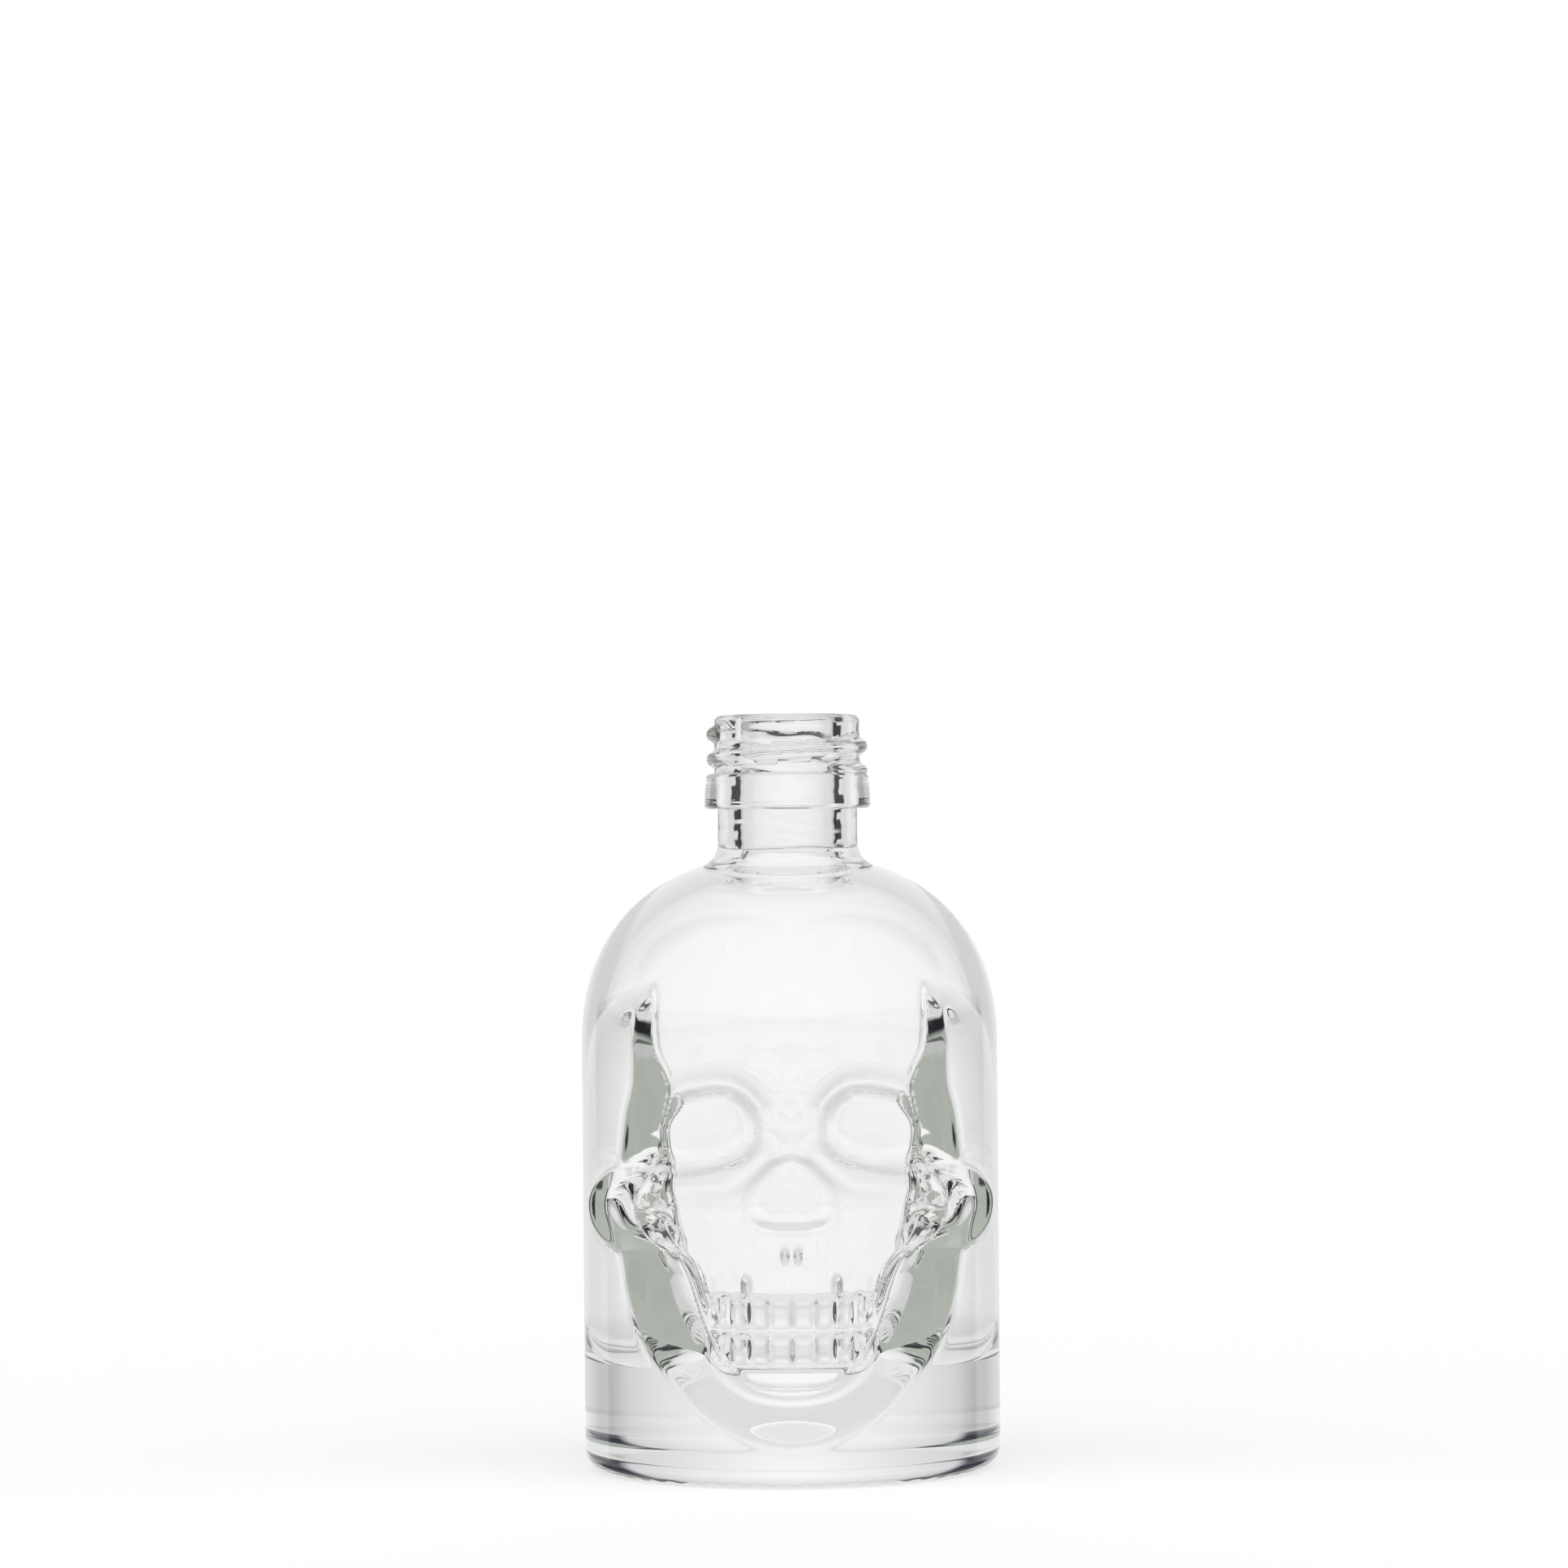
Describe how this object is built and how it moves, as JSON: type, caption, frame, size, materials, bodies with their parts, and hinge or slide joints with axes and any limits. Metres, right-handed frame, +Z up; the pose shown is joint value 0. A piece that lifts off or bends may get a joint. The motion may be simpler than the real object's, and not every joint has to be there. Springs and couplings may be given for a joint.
{
  "type": "skull bottle",
  "caption": "Clear glass bottle with a round domed body, a skull face moulded into its front, a thick base and a threaded open neck for a small metal cap.",
  "frame": {"origin": "centre of the bottle's foot, on the surface it stands on", "axes": "+Z up along the bottle's axis, -Y out of the skull's face, +X to the right of someone who looks at the face"},
  "size_m": [0.0456, 0.0456, 0.0825],
  "materials": {
    "clear_glass": "clear polished moulded glass"
  },
  "bodies": {
    "root": {"glass_bottle": "clear_glass"}
  },
  "joints": []
}
